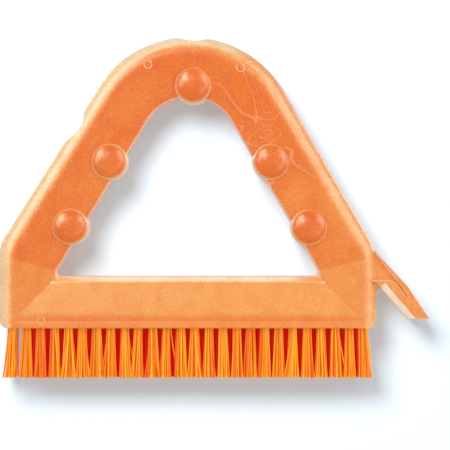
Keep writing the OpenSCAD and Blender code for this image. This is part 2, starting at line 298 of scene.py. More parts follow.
def edit(piece, action="SELECT"):
    """Opens a piece's mesh for editing, with all of it selected or nothing."""
    activate(piece)
    bpy.ops.object.mode_set(mode="EDIT")
    bpy.ops.mesh.select_all(action=action)


def end_edit():
    bpy.ops.object.mode_set(mode="OBJECT")


def add(primitive, name, **values):
    """Adds a primitive and names it."""
    deselect()
    primitive(**values)
    piece = bpy.context.object
    piece.name = name
    piece.data.name = name
    return piece


def spot(x, y, z):
    """A place in the block's own frame, in mm, as one of the scene's."""
    return (x + SHIFT_X) * MM, y * MM, z * MM


def in_place(piece):
    """Puts a piece's place, turn and size into its mesh."""
    activate(piece)
    bpy.ops.object.transform_apply(location=True, rotation=True, scale=True)


def mesh_values(items, key, kind=float, width=1):
    """One value, or a row of them, for each vertex, corner or face of a mesh."""
    values = np.empty(len(items) * width, kind)
    items.foreach_get(key, values)
    return values.reshape(-1, width) if width > 1 else values


def coordinates(piece):
    return mesh_values(piece.data.vertices, "co", width=3)


def set_coordinates(piece, co):
    piece.data.vertices.foreach_set("co", np.ascontiguousarray(co, float).ravel())
    piece.data.update()


def store_tone(mesh, name, domain, values):
    """Keeps a tone on the mesh, where the material reads it."""
    layer = mesh.attributes.new(name, "FLOAT", domain)
    layer.data.foreach_set("value", values.astype(np.float32))


def recalculate_normals(piece):
    edit(piece)
    bpy.ops.mesh.normals_make_consistent(inside=False)
    end_edit()


def merge_seams(piece, distance=2e-7):
    edit(piece)
    bpy.ops.mesh.remove_doubles(threshold=distance)
    end_edit()


def close_ends(piece, distance=2e-7):
    """Merges a rolled-up grid along its seam and fills the open end rings."""
    merge_seams(piece, distance)
    edit(piece, "DESELECT")
    bpy.ops.mesh.select_non_manifold()
    bpy.ops.mesh.fill_holes(sides=0)
    end_edit()
    recalculate_normals(piece)


def apply_modifier(piece, kind, **values):
    """Adds a modifier with these values and applies it."""
    activate(piece)
    modifier = piece.modifiers.new(kind.title(), kind)
    for key, value in values.items():
        setattr(modifier, key, value)
    bpy.ops.object.modifier_apply(modifier=modifier.name)


def combine(piece, other, operation):
    """Adds the other solid to the piece or cuts it away, and removes the other."""
    before = len(piece.data.polygons)
    apply_modifier(piece, "BOOLEAN", object=other, operation=operation, solver="MANIFOLD")
    if len(piece.data.polygons) == before:
        raise RuntimeError(f"{other.name} did not meet {piece.name}")
    bpy.data.objects.remove(other)


def plate(name, outline, low_y, high_y):
    """A flat plate: a disc shaped to an outline in x and z, and extruded through the thickness."""
    piece = add(bpy.ops.mesh.primitive_circle_add, name, vertices=len(outline), fill_type="NGON")
    set_coordinates(piece, np.array([spot(x, low_y, z) for x, z in outline]))
    edit(piece)
    across_y = (0, (high_y - low_y) * MM, 0)
    bpy.ops.mesh.extrude_region_move(TRANSFORM_OT_translate={"value": across_y})
    end_edit()
    recalculate_normals(piece)
    return piece


def rolled_grid(name, sections, ring):
    """A grid primitive laid on closed sections; in a ring the last section meets the first."""
    rows, columns = sections.shape[:2]
    spans = rows if ring else rows - 1
    piece = add(bpy.ops.mesh.primitive_grid_add, name, x_subdivisions=columns, y_subdivisions=spans)
    closed = sections[np.arange(spans + 1) % rows][:, np.arange(columns + 1) % columns]
    set_coordinates(piece, (closed.reshape(-1, 3) + (SHIFT_X, 0, 0)) * MM)
    return piece


# Materials


def nodes_of(name):
    """A new material with its node tree and its shader."""
    material = bpy.data.materials.new(name)
    material.use_nodes = True
    tree = material.node_tree
    return material, tree, tree.nodes["Principled BSDF"]


def feed(tree, made, inputs):
    """Gives inputs of a node their values: another node's output, a number or a colour."""
    for key, value in inputs.items():
        socket = made.inputs[key]
        if isinstance(value, bpy.types.NodeSocket):
            tree.links.new(value, socket)
        elif socket.type == "RGBA":
            socket.default_value = (*value, 1)
        else:
            socket.default_value = value


def node(tree, kind, inputs=None, **values):
    made = tree.nodes.new(kind)
    for key, value in values.items():
        setattr(made, key, value)
    feed(tree, made, inputs or {})
    return made


def calculate(tree, operation, *values, **settings):
    inputs = dict(enumerate(values))
    return node(tree, "ShaderNodeMath", inputs, operation=operation, **settings).outputs[0]


def mix_colors(tree, factor, first, second, blend="MIX"):
    """A colour mix; each side is a socket or a colour."""
    inputs = {0: factor, 6: first, 7: second}
    return node(tree, "ShaderNodeMix", inputs, data_type="RGBA", blend_type=blend).outputs[2]


def ramp(tree, source, low, high):
    """A smooth 0 to 1 mask between two values of a source."""
    inputs = {"Value": source, "From Min": low, "From Max": high}
    return node(tree, "ShaderNodeMapRange", inputs, interpolation_type="SMOOTHSTEP").outputs["Result"]


def noise(tree, place, size, **inputs):
    inputs |= {"Vector": place, "Scale": size}
    return node(tree, "ShaderNodeTexNoise", inputs).outputs["Fac"]


def stored_tone(tree, name):
    """One of the tones that are kept on the mesh."""
    return node(tree, "ShaderNodeAttribute", attribute_name=name + "_tone").outputs["Fac"]


# Inputs and outputs of the cloud and grain group, by kind
GROUP_SOCKETS = {
    "INPUT": {"Color": ("Color", "Deep Color", "Pale Color"),
              "Float": ("Cloud Size", "Cloud", "Grain Size", "Grain", "Roughness")},
    "OUTPUT": {"Color": ("Color",), "Float": ("Roughness", "Height")},
}
GRAIN_ROUGHNESS = 0.16


def cloud_group():
    """Node group: cloudy colour and fine grain for moulded or drawn stock, on Object coordinates."""
    group = bpy.data.node_groups.get("cloud_and_grain")
    if group:
        return group
    group = bpy.data.node_groups.new("cloud_and_grain", "ShaderNodeTree")
    for side, kinds in GROUP_SOCKETS.items():
        for kind, names in kinds.items():
            for name in names:
                group.interface.new_socket(name=name, in_out=side, socket_type="NodeSocket" + kind)
    start = group.nodes.new("NodeGroupInput").outputs
    end = group.nodes.new("NodeGroupOutput")
    place = node(group, "ShaderNodeTexCoord").outputs["Object"]
    cloud = noise(group, place, start["Cloud Size"], Detail=4.0, Roughness=0.55, Distortion=0.6)
    grain = noise(group, place, start["Grain Size"], Detail=3.0, Roughness=0.6)
    cloudy = calculate(group, "MULTIPLY", ramp(group, cloud, 0.38, 0.68), start["Cloud"])
    color = mix_colors(group, cloudy, start["Color"], start["Deep Color"])
    for low, high, shade in ((0.52, 0.32, "Deep Color"), (0.5, 0.72, "Pale Color")):
        specks = calculate(group, "MULTIPLY", ramp(group, grain, low, high), start["Grain"])
        color = mix_colors(group, specks, color, start[shade])
    rough = calculate(group, "MULTIPLY_ADD", grain, GRAIN_ROUGHNESS, start["Roughness"])
    feed(group, end, {"Color": color, "Roughness": rough, "Height": grain})
    return group


def clouded(tree, **values):
    """The cloud and grain group in a material, with its own values."""
    inputs = {key.replace("_", " ").title(): value for key, value in values.items()}
    return node(tree, "ShaderNodeGroup", inputs, node_tree=cloud_group()).outputs


def stippled(tree, mask, place, size, spread):
    """A mask broken up by fine noise, so that its edge is speckled."""
    specks = noise(tree, place, size, Detail=4.0, Roughness=0.75)
    shifted = calculate(tree, "MULTIPLY_ADD", specks, spread, mask)
    return ramp(tree, shifted, spread / 2 + 0.04, spread / 2 + 0.92)


def flow_lines(tree, place, color):
    """Faint curled lines where the melt met, on the right of the crown."""
    warp = noise(tree, place, 17.0, Detail=1.0, Distortion=1.3)
    wave = calculate(tree, "PINGPONG", warp, FLOW_WAVE)
    for low, high, strength, shade in FLOW_LINES:
        flow = calculate(tree, "MULTIPLY", ramp(tree, wave, low, high), stored_tone(tree, "flow"))
        color = mix_colors(tree, calculate(tree, "MULTIPLY", flow, strength), color, shade)
    return color


def handle_material(settings):
    """Moulded plastic: face colour, turned by the tones on the mesh to the bar's painted light, the
    rim's painted highlight, painted shade and pale painted edges.
    """
    material, tree, shader = nodes_of("moulded_orange")
    place = node(tree, "ShaderNodeTexCoord").outputs["Object"]
    # Random patches of the lighter bar colour, on top of the light painted on the bar, feet and lower
    # legs
    patches = ramp(tree, noise(tree, place, 26.0, Detail=3.0, Distortion=0.8), 0.46, 0.66)
    level = calculate(tree, "MULTIPLY_ADD", patches, 0.22, stored_tone(tree, "bar"), use_clamp=True)
    # The rim's painted highlight, with a speckled edge
    rim = stippled(tree, stored_tone(tree, "rim"), place, 700.0, 0.5)
    faces = settings.face_color
    # Painted light over the face colour: the lighter bar, the rim highlight, the crease shade and the
    # pale edges
    for mask, shade in (
        (level, settings.bar_painted_light_color), (stored_tone(tree, "deep"), PAINTED_CREASE_SHADE),
        (ramp(tree, rim, 0.0, 0.6), RIM_HIGHLIGHT_FOOT), (ramp(tree, rim, 0.35, 1.0), settings.rim_color),
        (stored_tone(tree, "edge"), PAINTED_EDGE_HIGHLIGHT),
    ):
        faces = mix_colors(tree, mask, faces, shade)
    deep = mix_colors(tree, 1.0, faces, CLOUD_TINT, "MULTIPLY")
    pale = mix_colors(tree, 0.16, faces, SPECK_SHADE)
    look = clouded(tree, color=faces, deep_color=deep, pale_color=pale, cloud_size=95.0,
                   cloud=settings.mottle, grain_size=1000.0, grain=0.7, roughness=0.2)
    bump = node(tree, "ShaderNodeBump", {
        "Strength": settings.grain, "Distance": 0.0004, "Height": look["Height"]})
    feed(tree, shader, {
        "Base Color": flow_lines(tree, place, look["Color"]), "Roughness": look["Roughness"],
        "Specular IOR Level": 0.4, "Normal": bump.outputs["Normal"]})
    return material


def bristle_material(settings):
    """Drawn nylon: from dark to light filaments, and a deep red painted in the middle row as the shade
    between the tufts.
    """
    material, tree, shader = nodes_of("orange_filament")
    color = mix_colors(tree, stored_tone(tree, "strand"), settings.dark_color, settings.light_color)
    color = mix_colors(tree, stored_tone(tree, "inner"), color, settings.deep_color)
    deep = mix_colors(tree, 1.0, color, FILAMENT_TINT, "MULTIPLY")
    look = clouded(tree, color=color, deep_color=deep, pale_color=color, cloud_size=160.0, cloud=0.3,
                   grain_size=700.0, grain=0.3, roughness=0.24)
    # The emission stands for light that passes from filament to filament
    feed(tree, shader, {
        "Base Color": look["Color"], "Roughness": look["Roughness"], "Specular IOR Level": 0.35,
        "Emission Color": look["Color"], "Emission Strength": 0.11, "Subsurface Weight": 0.4,
        "Subsurface Scale": 0.001, "Subsurface Radius": (1.0, 0.4, 0.12)})
    return material


def staple_material():
    """Drawn brass wire."""
    material, tree, shader = nodes_of("drawn_brass")
    look = clouded(tree, color=linear(205, 170, 100), deep_color=linear(170, 130, 70),
                   pale_color=linear(225, 200, 140), cloud_size=300.0,
                   cloud=0.5, grain_size=2500.0, grain=0.4, roughness=0.25)
    feed(tree, shader, {
        "Base Color": look["Color"], "Roughness": look["Roughness"], "Metallic": 1.0})
    return material


# The loop handle


def unit(angle):
    return np.array((cos(angle), sin(angle)))


def across(side, lean):
    """Outward direction square to a leg's edge."""
    return np.array((side * cos(lean), sin(lean)))


def down(side, lean):
    """Direction down along a leg's edge."""
    return np.array((side * sin(lean), -cos(lean)))


def shoulder(side):
    """Centre of the arc where a leg turns down into the block's side."""
    lean = LEAN_OUT[side]
    inner_r = CROWN_R - SHOULDER_R
    edge = BLOCK_HALF - SHOULDER_R - side * CROWN[0] - inner_r * cos(lean)
    return CROWN + inner_r * across(side, lean) + edge / sin(lean) * down(side, lean)


def outline_arcs():
    """The outline's arcs from right to left above the heels: centre, radius, first and last angle."""
    right, left = LEAN_OUT[1], pi - LEAN_OUT[-1]
    return [(shoulder(1), SHOULDER_R, 0, right), (CROWN, CROWN_R, right, left),
            (shoulder(-1), SHOULDER_R, left, pi)]


def rim_distance(points):
    """Distance of points inside the rounded outline, from its sides and top."""
    x = points[..., 0]
    best = np.minimum(BLOCK_HALF - x, BLOCK_HALF + x)
    for side in SIDES:
        n = across(side, LEAN_OUT[side])
        best = np.minimum(best, CROWN @ n + CROWN_R - points @ n)
    for centre, radius, low, high in outline_arcs():
        d = points - centre
        angle = np.arctan2(d[..., 1], d[..., 0])
        near = (angle >= low) & (angle <= high)
        best = np.where(near, np.minimum(best, radius - np.hypot(d[..., 0], d[..., 1])), best)
    return best


def loop_half(d):
    """Half thickness of a leg or the crown at a distance from the opening."""
    steep = sqrt(1 + FACE_SLOPE**2)
    middle = EDGE_HALF + FACE_SLOPE * EDGE_R - EDGE_R * steep
    fillet = middle + np.sqrt(np.clip(EDGE_R**2 - (EDGE_R - d) ** 2, 0, None))
    touch = EDGE_R * (1 - FACE_SLOPE / steep)
    return np.where(d < 0, 0, np.where(d < touch, fillet, EDGE_HALF + FACE_SLOPE * d))


def opening_distances(points):
    """Distance of points beyond the opening's edge: into legs and crown, into the feet, into the bar."""
    x, z = points[..., 0], points[..., 1]
    d = points - CROWN
    angle = np.arctan2(d[..., 1], d[..., 0])
    on_crown = (angle >= LEAN_IN[1]) & (angle <= pi - LEAN_IN[-1])
    legs = np.where(on_crown, np.hypot(d[..., 0], d[..., 1]) - OPEN_R, -1)
    for side in SIDES:
        beside = d @ down(side, LEAN_IN[side]) >= 0
        legs = np.maximum(legs, np.where(beside, d @ across(side, LEAN_IN[side]) - OPEN_R, -1))
    return legs, np.abs(x) - OPEN_HALF, BAR_TOP_Z - z


def half_thickness(points):
    """Half thickness of the handle, without the bumps."""
    legs, feet, below = opening_distances(points)
    depths, halves = zip(*BAR_PROFILE)
    half = np.where(below >= 0, np.interp(below, depths, halves), 0)
    half = np.maximum(half, loop_half(np.maximum(legs, feet)))
    half = np.maximum(half, BAR_PROFILE[0][1])
    inner = np.clip(RIM_R - rim_distance(points), 0, RIM_R)
    return np.minimum(half, CREST_HALF + np.sqrt(RIM_R**2 - inner**2))


def outline_points():
    """The outline as a run of close points, from the lower right corner round to the lower left."""
    heel = np.array((BLOCK_HALF - HEEL_R, BASE_Z + HEEL_R))
    arcs = [(heel, HEEL_R, -pi / 2, 0), *outline_arcs(),
            (heel * (-1, 1), HEEL_R, pi, 1.5 * pi)]
    run = []
    for (centre, radius, low, high), count in zip(arcs, (30, 60, 400, 60, 30)):
        run += [centre + radius * unit(a) for a in np.linspace(low, high, count)]
    return np.array(run)


OUTLINE = outline_points()


def ray(start, direction):
    """A ray from inside: its start, its direction, and where it meets the outline."""
    e = np.roll(OUTLINE, -1, axis=0) - OUTLINE
    cross = direction[0] * e[:, 1] - direction[1] * e[:, 0]
    w = OUTLINE - start
    with np.errstate(divide="ignore", invalid="ignore"):
        t = (w[:, 0] * e[:, 1] - w[:, 1] * e[:, 0]) / cross
        s = (w[:, 0] * direction[1] - w[:, 1] * direction[0]) / cross
    hit = (t > 1e-6) & (s >= -1e-9) & (s <= 1 + 1e-9)
    return start, direction, start + direction * t[hit].min()


def corner_rays(side):
    """Rays that fan out of a lower corner of the opening, from the leg's direction to straight down."""
    edge = CROWN + OPEN_R * across(side, LEAN_IN[side])
    top = edge[1] - (OPEN_HALF - side * edge[0]) / tan(LEAN_IN[side])
    stops = [LEAN_IN[side], -0.3, -pi / 4, -pi / 2]
    bend = 0.3 * CORNER_R
    places = [(OPEN_HALF, top), (OPEN_HALF, BAR_TOP_Z + CORNER_R),
              (OPEN_HALF - bend, BAR_TOP_Z + bend), (OPEN_HALF - CORNER_R, BAR_TOP_Z)]
    rays = []
    for (a, b), (p, q) in zip(zip(stops, stops[1:]), zip(places, places[1:])):
        fine = []
        for w in np.linspace(0, 1, 120):
            start = (np.array(p) * (1 - w) + np.array(q) * w) * (side, 1)
            angle = a * (1 - w) + b * w
            fine.append(ray(start, across(side, angle)))
        length = np.cumsum([0] + [np.linalg.norm(m[2] - n[2]) for m, n in zip(fine, fine[1:])])
        count = max(3, int(length[-1] / SPACING))
        for k in range(count):
            rays.append(fine[int(np.searchsorted(length, length[-1] * k / count))])
    return rays


def leg_rays(side):
    """Rays across a leg, without the first and the last: up the right leg, down the left one."""
    direction = across(side, LEAN_IN[side])
    top = CROWN + OPEN_R * direction
    length = (OPEN_HALF - side * top[0]) / sin(LEAN_IN[side])
    ends = (length, 0) if side > 0 else (0, length)
    stops = np.linspace(*ends, int(length / SPACING))[1:-1]
    return [ray(top + t * down(side, LEAN_IN[side]), direction) for t in stops]


def handle_rays():
    """Rays from the opening to the outline, once round the loop from the middle of the bar."""
    plumb = np.array((0.0, -1.0))
    right_bar = np.arange(0, OPEN_HALF - CORNER_R, BAR_SPACING)
    left_bar = -np.arange(OPEN_HALF - CORNER_R - SPACING, SPACING * 0.4, -BAR_SPACING)
    low, high = LEAN_IN[1], pi - LEAN_IN[-1]
    turns = np.linspace(low, high, int((high - low) * CROWN_R / SPACING))
    rays = [ray(np.array((x, BAR_TOP_Z)), plumb) for x in right_bar]
    rays += corner_rays(1)[::-1] + leg_rays(1)
    rays += [ray(CROWN + OPEN_R * unit(a), unit(a)) for a in turns]
    rays += leg_rays(-1) + corner_rays(-1)
    return rays + [ray(np.array((x, BAR_TOP_Z)), plumb) for x in left_bar]


def section_shares(start, direction, end):
    """Where the vertices lie along a ray, as shares of its length."""
    length = np.linalg.norm(end - start)
    if end[1] < BASE_Z + 0.01:
        bar = [0, 0.12, 0.4, 0.8, 1.4, 2.85, 3.15, 3.9, *np.linspace(3.9, 21.5, 12)[1:],
               22.5, 23.5, 24.3, 25.0, 25.5, 25.9, 26.4, 27.2, 28.4, 29.3, BAR_H]
        return np.array(bar) / BAR_H
    d_end = float(rim_distance(end[None])[0])
    inside = end - direction * 0.5
    closing = (float(rim_distance(inside[None])[0]) - d_end) / 0.5
    rim = min((RIM_R - d_end) / max(closing, 0.5), 0.6 * length)
    d = [0, 0.12, 0.4, 0.8, 1.26, *np.linspace(1.26, length - rim, 17)[1:]]
    d += [length - rim * (1 - sin(radians(a))) for a in range(10, 91, 10)]
    return np.array(d) / length


def loop_solid():
    """The loop and the bar: a grid primitive rolled up and shaped to one ring of sections."""
    outer_points, inner_points = 5, 4
    sections = []
    for start, direction, end in handle_rays():
        shares = section_shares(start, direction, end)
        plan = start + shares[:, None] * (end - start)
        half = half_thickness(plan)
        front = [(x, -h, z) for (x, z), h in zip(plan, half)]
        back = [(x, h, z) for (x, z), h in zip(plan, half)][::-1]
        outer = np.linspace(-half[-1], half[-1], outer_points + 2)[1:-1]
        edge = np.linspace(half[0], -half[0], inner_points + 2)[1:-1]
        sections.append(front + [(end[0], y, end[1]) for y in outer]
                        + back + [(start[0], y, start[1]) for y in edge])
    piece = rolled_grid("handle", np.array(sections), True)
    merge_seams(piece)
    recalculate_normals(piece)
    return piece


def bump_centres():
    """Middles of the five finger bumps."""
    places = [CROWN + (OPEN_R + CROWN_BUMP_BEHIND) * unit(CROWN_BUMP_TURN)]
    for side in SIDES:
        lean = LEAN_IN[side]
        behind = OPEN_R + LEG_BUMP_BEHIND[side]
        places += [CROWN + behind * across(side, lean) + along * down(side, lean)
                   for along in LEG_BUMP_ALONG]
    return places


def finger_bump(place):
    """A sphere primitive drawn out to a pill through the handle, with full domes."""
    piece = add(
        bpy.ops.mesh.primitive_uv_sphere_add, "finger_bump", segments=72, ring_count=36, radius=1)
    co = coordinates(piece)
    power = 2 / BUMP_ROUND
    reach = np.maximum(np.hypot(co[:, 0], co[:, 1]), 1e-6) ** (power - 1)
    height = np.abs(co[:, 2]) ** power * (BUMP_HALF - BUMP_WAIST) + BUMP_WAIST
    height = np.where(np.abs(co[:, 2]) < 1e-4, 0, np.sign(co[:, 2]) * height)
    x, z = (co[:, k] * reach * BUMP_R + place[k] for k in (0, 1))
    set_coordinates(piece, np.stack(spot(x, height, z), axis=1))
    recalculate_normals(piece)
    return piece


def threaded_cutter(length, mouth_r, mouth_length):
    """A grid primitive rolled up to a coarse screw below its origin, and a plain mouth above it."""
    piece = add(bpy.ops.mesh.primitive_grid_add, "socket", x_subdivisions=64,
                y_subdivisions=int(length / THREAD_STEP), size=2)
    co = coordinates(piece)
    angle = (co[:, 0] + 1) * pi
    z = -length + (co[:, 1] + 1) / 2 * length
    wave = np.abs(((z / THREAD_PITCH - angle / (2 * pi)) % 1) - 0.5) * 2
    fade = np.clip(np.minimum(z + length, -z) / THREAD_FADE, 0, 1)
    r = SOCKET_R + THREAD_DEPTH * fade * np.clip((wave - 0.35) / 0.3, 0, 1)
    set_coordinates(piece, np.stack([r * np.cos(angle), r * np.sin(angle), z], axis=1) * MM)
    close_ends(piece, 1e-6)
    mouth = add(
        bpy.ops.mesh.primitive_cylinder_add, "socket_mouth", vertices=96, radius=mouth_r * MM,
        depth=mouth_length * MM, location=(0, 0, (mouth_length / 2 - 0.03) * MM))
    in_place(mouth)
    return piece, mouth


def underside(x):
    """Point of the scraper's underside at a distance from the middle of the block."""
    return np.array((x, LOW_END[1] + (LOW_END[0] - x) / tan(UNDER_LEAN)))


def bevel_cutter(up):
    """A square bar laid along an edge of the underside, from below the tip to under the root."""
    size = BEVEL * sqrt(2) * MM
    start, end = -12, 24.5
    cutter = add(
        bpy.ops.mesh.primitive_cube_add, "bevel", size=1, scale=(size, size, (end - start) * MM),
        rotation=(0, 0, pi / 4), location=(0, 0, (start + end) / 2 * MM))
    in_place(cutter)
    cutter.rotation_euler = (0, -UNDER_LEAN, 0)
    cutter.location = spot(LOW_END[0], up * SCRAPER_HALF, LOW_END[1])
    in_place(cutter)
    return cutter


def root_web():
    """The rounded web under the scraper's root, between the block's side and the underside."""
    reach = SCRAPER_HALF - POCKET - 0.2
    into = unit(UNDER_LEAN)
    sections = []
    for share in np.linspace(-1, 1, 25):
        y = share * reach
        dip = max(abs(y) - CREST_HALF, 0)
        corner = underside(BLOCK_HALF - RIM_R + sqrt(RIM_R**2 - dip**2))
        radius = WEB_R * sqrt(1 - 0.985 * share**2)
        along = radius / tan(UNDER_LEAN / 2)
        centre = corner + (radius, -along)
        foot = corner + along * down(1, UNDER_LEAN)
        last = atan2(foot[1] - centre[1], foot[0] - centre[0])
        section = [centre + radius * unit(a) for a in np.linspace(pi, last, 12)]
        section += [foot + into, corner + into + (0, 1.2), corner + (-1.5, 1.2), corner + (-1.5, -along)]
        sections.append([(x, y, z) for x, z in section])
    piece = rolled_grid("root_web", np.array(sections), False)
    close_ends(piece)
    return piece


def scraper_solid():
    """The scraper: a plate with a pocket in each side, a bevelled underside and a rounded root."""
    notch = underside(BLOCK_HALF)
    inner_x = BLOCK_HALF - 9
    outline = [TIP, BEND, ROOT_TOP, (inner_x, ROOT_TOP[1] + 2), (inner_x, notch[1] + 2), notch,
               LOW_END]
    body = plate("scraper", outline, -SCRAPER_HALF, SCRAPER_HALF)
    for up in SIDES:
        combine(body, bevel_cutter(up), "DIFFERENCE")
    rail = RAIL / cos(TIP_LEAN)
    corner = notch + ((3.9 + BEVEL) / cos(UNDER_LEAN), 1.3)
    apex = TIP + (-rail - 12.6 * tan(TIP_LEAN), 12.6)
    left = BLOCK_HALF - 8.5
    pocket = [
        (left, ROOT_TOP[1] + 12), ROOT_TOP + (0.5, 12), ROOT_TOP + (0.5, -1.7), BEND - (rail, 0),
        apex, apex - (1.1, 0), corner + (1.2, -1.6), corner - (1.4, 0), (left, corner[1]),
    ]
    for low_y in (-SCRAPER_HALF - 1, SCRAPER_HALF - POCKET):
        combine(body, plate("pocket", pocket, low_y, low_y + POCKET + 1), "DIFFERENCE")
    apply_modifier(body, "BEVEL", width=0.5 * MM, segments=2, limit_method="ANGLE",
                   angle_limit=radians(30), use_clamp_overlap=True)
    combine(body, root_web(), "UNION")
    return body


def ejector_mark(x, z):
    """A small round mark with a raised edge, left by an ejector pin on the front face."""
    around = np.array([(x, z + d) for d in (-2.4, -1.2, 0, 1.2, 2.4)])
    front = -float(half_thickness(around).max()) - EJECTOR_PROUD
    mark = add(
        bpy.ops.mesh.primitive_cylinder_add, "ejector_mark", vertices=48, radius=EJECTOR_R * MM,
        depth=4 * MM, rotation=(pi / 2, 0, 0), location=spot(x, front + 2, z))
    in_place(mark)
    edit(mark, "DESELECT")
    end_edit()
    for face in mark.data.polygons:
        face.select = face.normal.y < -0.9
    bpy.ops.object.mode_set(mode="EDIT")
    bpy.ops.mesh.select_mode(type="FACE")
    bpy.ops.mesh.inset(thickness=0.35 * MM)
    bpy.ops.mesh.inset(thickness=0.3 * MM, depth=-0.22 * MM)
    bpy.ops.mesh.select_mode(type="VERT")
    end_edit()
    return mark


def rise(value, low, high):
    """From 0 up to low, smoothly to 1 from high on."""
    t = np.clip((value - low) / (high - low), 0, 1)
    return t * t * (3 - 2 * t)


def rim_tone(x, z, inside):
    """The rim's painted highlight: widest on the left leg, thin over the crown, faint at the feet."""
    right = rise(x, 8, 40)
    left = 1 - rise(x, -46, -16)
    high = rise(z, 58, 84)
    crown = 1 - left - right
    weights = (left * high, right * high, crown, left * (1 - high), right * (1 - high))
    tone = crown * CROWN_HIGHLIGHT * np.clip((14 - inside) / 9, 0, 1)
    for weight, (start, full, strength) in zip(weights, RIM_HIGHLIGHT_ZONES):
        tone = tone + weight * strength * rise(-inside, -start, -full)
    return tone


def tones_at(plan, depth):
    """How pale, deep or bar-coloured the loop is painted at its points: painted highlights, shade and
    light, beside the flow lines.
    """
    x, z = plan.T
    inside = rim_distance(plan)
    rim = rim_tone(x, z, inside)
    legs, feet, below = opening_distances(plan)
    sides = np.maximum(legs, feet)
    opening = np.maximum(sides, below)
    # Painted light: the bar's face, the feet and the lower legs take the lighter bar colour, more on the
    # right
    bar = rise(below - sides, -0.9, 0.9) * (below > -0.5)
    foot = (0.5 + 0.2 * (x > 0)) * rise(feet - legs, -0.6, 0.6) * (1 - bar)
    low = (0.1 + 0.2 * (x > 0)) * (1 - rise(z, 105, 145))
    level = np.maximum(np.maximum(bar, foot), low)
    # The bar from its top down: pale strip and light ledge line, both painted highlights, then the
    # roll-in and band, and how far from its ends
    away = rise(OPEN_HALF - np.abs(x), -4, 26)
    strip = (1 - rise(below, 2.7, 3.5)) * (0.1 + 0.8 * away)
    ledge = np.exp(-(((below - 3.3) / 0.45) ** 2)) * (1 - 0.4 * away)
    roll = rise(below, 21.0, 24.3) * (1 - rise(below, 25.7, 26.6))
    band = rise(below, 25.7, 26.8)
    # Inside the opening the paler tones of the front and the back stop
    on_face = rise(depth, 7.6, 8.7)
    tone = np.where(bar > 0.5, np.maximum(np.maximum(rim, strip * on_face), ledge), rim)
    # Painted highlights as pale lines: along the opening's edge, on the outer edge at the upper left,
    # and faintly on the bar's top strip
    lip = (1 - rise(inside, 0.3, 3.2)) * (1 - rise(x, 0, 30)) * rise(z, 60, 90)
    edge = np.maximum(0.75 * on_face * (1 - rise(opening, 0.1, 0.9)), 0.5 * lip)
    edge = np.maximum(edge, 0.3 * bar * strip * on_face)
    # Painted shade: darker in the bar's roll-in crease and along the band below it
    deep = bar * (0.55 * roll + 0.35 * band)
    still = np.ones(len(x))
    face = half_thickness(plan)
    for place in bump_centres():
        dx, dz = (plan - place).T
        near = np.hypot(dx, dz)
        on_bump = near < BUMP_R + 0.05
        proud = on_bump & ((depth > face + 0.1) | (opening < 0.2))
        # On a bump the tone is painted light: two soft highlights, a paler ring towards its edge and a
        # pale highlight line at the edge
        painted_highlight = sum(strength * np.exp(-(((dx - at_x) / wide) ** 2) - ((dz - at_z) / high) ** 2)
                    for strength, at_x, at_z, wide, high in PAINTED_HIGHLIGHTS)
        tone = np.where(proud, np.maximum(0.62 * rise(near, 7.4, BUMP_R), painted_highlight), tone)
        level = np.where(proud, -0.12, level)
        edge = np.where(proud, 0.3 * rise(near, 10.2, BUMP_R), edge)
        deep = np.where(proud, 0, deep)
        still = np.where(on_bump, 0, still)
    flow = still * rise(x, 5, 25) * rise(z, 95, 115) * (1 - rim)
    return {"rim_tone": tone, "bar_tone": level, "deep_tone": deep, "edge_tone": edge, "flow_tone": flow}


def scraper_tones(middle, depth, normal):
    """Faces of the scraper and of the ejector marks, and the tones that they have of their own: painted
    highlights on the underside and pocket edges.
    """
    x, z = middle.T
    side = np.abs(normal[:, 1])
    root = (x > 102) & (z > 48) & (z < 82) & (rim_distance(middle) < 6)
    scraper = (x > BLOCK_HALF + 0.2) | (root & (np.abs(depth) > half_thickness(middle) + 0.12))
    under = -normal[:, 0] * cos(UNDER_LEAN) - normal[:, 2] * sin(UNDER_LEAN) > 0.55
    web = scraper & (x < BLOCK_HALF + 3) & (z < 56)
    line = scraper & (side > 0.12) & (side < 0.95) & ~web & ~under
    ring = np.zeros(len(x), bool)
    for mark in EJECTOR_MARKS:
        away = np.hypot(x - mark[0], z - mark[1])
        ring |= (depth < 0) & (away > 1.93) & (away < EJECTOR_R)
    # Painted highlights: the underside bevel near white and the pocket edges as pale lines; the ejector
    # rings are a little paler
    return scraper | ring, {
        "rim_tone": np.where(web, 0.5, np.where(under, 1.0, 0.24)),
        "edge_tone": np.where(under & ~web, 0.9, np.where(line, 0.5, np.where(ring, 0.18, 0.0))),
        "bar_tone": 0.7, "deep_tone": 0.0, "flow_tone": 0.0,
    }


def tone_handle(piece):
    """Stores the tones at face corners, so that the scraper's faces keep theirs to their edges."""
    mesh = piece.data
    co = coordinates(piece) / MM
    tones = tones_at(co[:, [0, 2]] - (SHIFT_X, 0), np.abs(co[:, 1]))
    corner_vertex = mesh_values(mesh.loops, "vertex_index", np.int32)
    sizes = mesh_values(mesh.polygons, "loop_total", np.int32)
    centre = mesh_values(mesh.polygons, "center", width=3) / MM
    normal = mesh_values(mesh.polygons, "normal", width=3)
    own, over = scraper_tones(centre[:, [0, 2]] - (SHIFT_X, 0), centre[:, 1], normal)
    for name, value in tones.items():
        face_tone = np.repeat(over[name] * np.ones(len(sizes)), sizes)
        value = np.where(np.repeat(own, sizes), face_tone, value[corner_vertex])
        store_tone(mesh, name, "CORNER", value)


